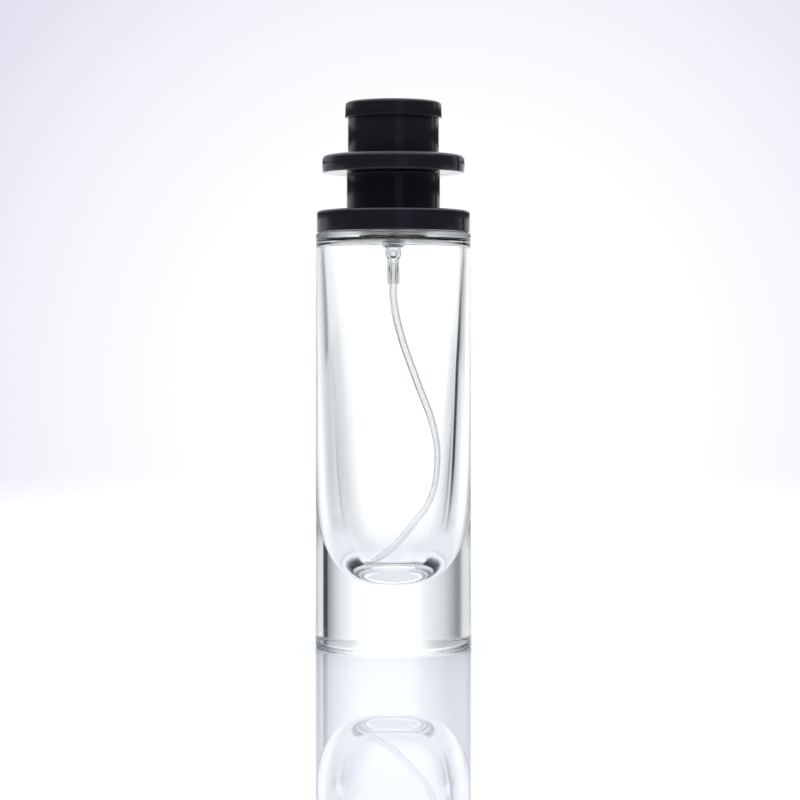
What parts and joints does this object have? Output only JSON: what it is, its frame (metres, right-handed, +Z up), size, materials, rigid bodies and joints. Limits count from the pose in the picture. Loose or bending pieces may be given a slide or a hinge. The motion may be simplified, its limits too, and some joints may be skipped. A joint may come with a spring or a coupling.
{
  "type": "fragrance spray bottle",
  "caption": "Clear cylindrical glass spray bottle with a crimped fine-mist pump, curved dip tube, black collar and stacked black pull-off cap.",
  "frame": {"origin": "centre of the bottle's base, in the plane of its foot ring", "axes": "+Z up along the bottle's axis; -Y is the side that the spray nozzle faces; +X is to the right when seen from the nozzle's side"},
  "size_m": [0.0362, 0.0362, 0.1262],
  "materials": {
    "glass": "clear, smooth",
    "black_plastic": "gloss black",
    "clear_plastic": "translucent natural",
    "white_plastic": "white, satin",
    "seal": "pale grey, matt",
    "ferrule": "bright rolled",
    "spring_steel": "bright drawn"
  },
  "bodies": {
    "bottle": {"glass_bottle": "glass", "neck_gasket": "seal", "crimp_ferrule": "ferrule", "pump_housing": "clear_plastic", "housing_gland": "white_plastic", "stem_seal": "seal", "spring_seat": "white_plastic", "return_spring": "spring_steel", "dip_tube": "clear_plastic", "shoulder_collar": "black_plastic"},
    "stem": {"stem": "white_plastic"},
    "piston": {"piston": "white_plastic"},
    "inlet_ball": {"inlet_ball": "glass"},
    "actuator": {"actuator_button": "black_plastic", "nozzle_insert": "black_plastic"},
    "cap": {"cap_liner": "black_plastic", "cap_lower_sleeve": "black_plastic", "cap_middle_ring": "black_plastic", "cap_upper_sleeve": "black_plastic", "cap_top_disc": "black_plastic"}
  },
  "joints": [
    {"name": "cap_lift", "type": "slide", "parent": "bottle", "child": "cap", "axis": [0, 0, 1], "range_m": [0, 0.04]},
    {"name": "stem_press", "type": "slide", "parent": "bottle", "child": "stem", "axis": [0, 0, -1], "range_m": [0, 0.004], "stiffness_N_per_m": 1500, "springref_m": -0.003, "deforming": ["return_spring"]},
    {"name": "piston_slide", "type": "slide", "parent": "bottle", "child": "piston", "axis": [0, 0, -1], "range_m": [0, 0.0035]},
    {"name": "actuator_turn", "type": "hinge", "parent": "stem", "child": "actuator", "pos_m": [0, 0, 0.1129], "axis": [0, 0, 1], "continuous": true},
    {"name": "inlet_ball_lift", "type": "slide", "parent": "bottle", "child": "inlet_ball", "axis": [0, 0, 1], "range_m": [0, 0.0008]}
  ],
  "couplings": [
    {"joint": "piston_slide", "follows": "stem_press", "ratio": 0.875}
  ]
}
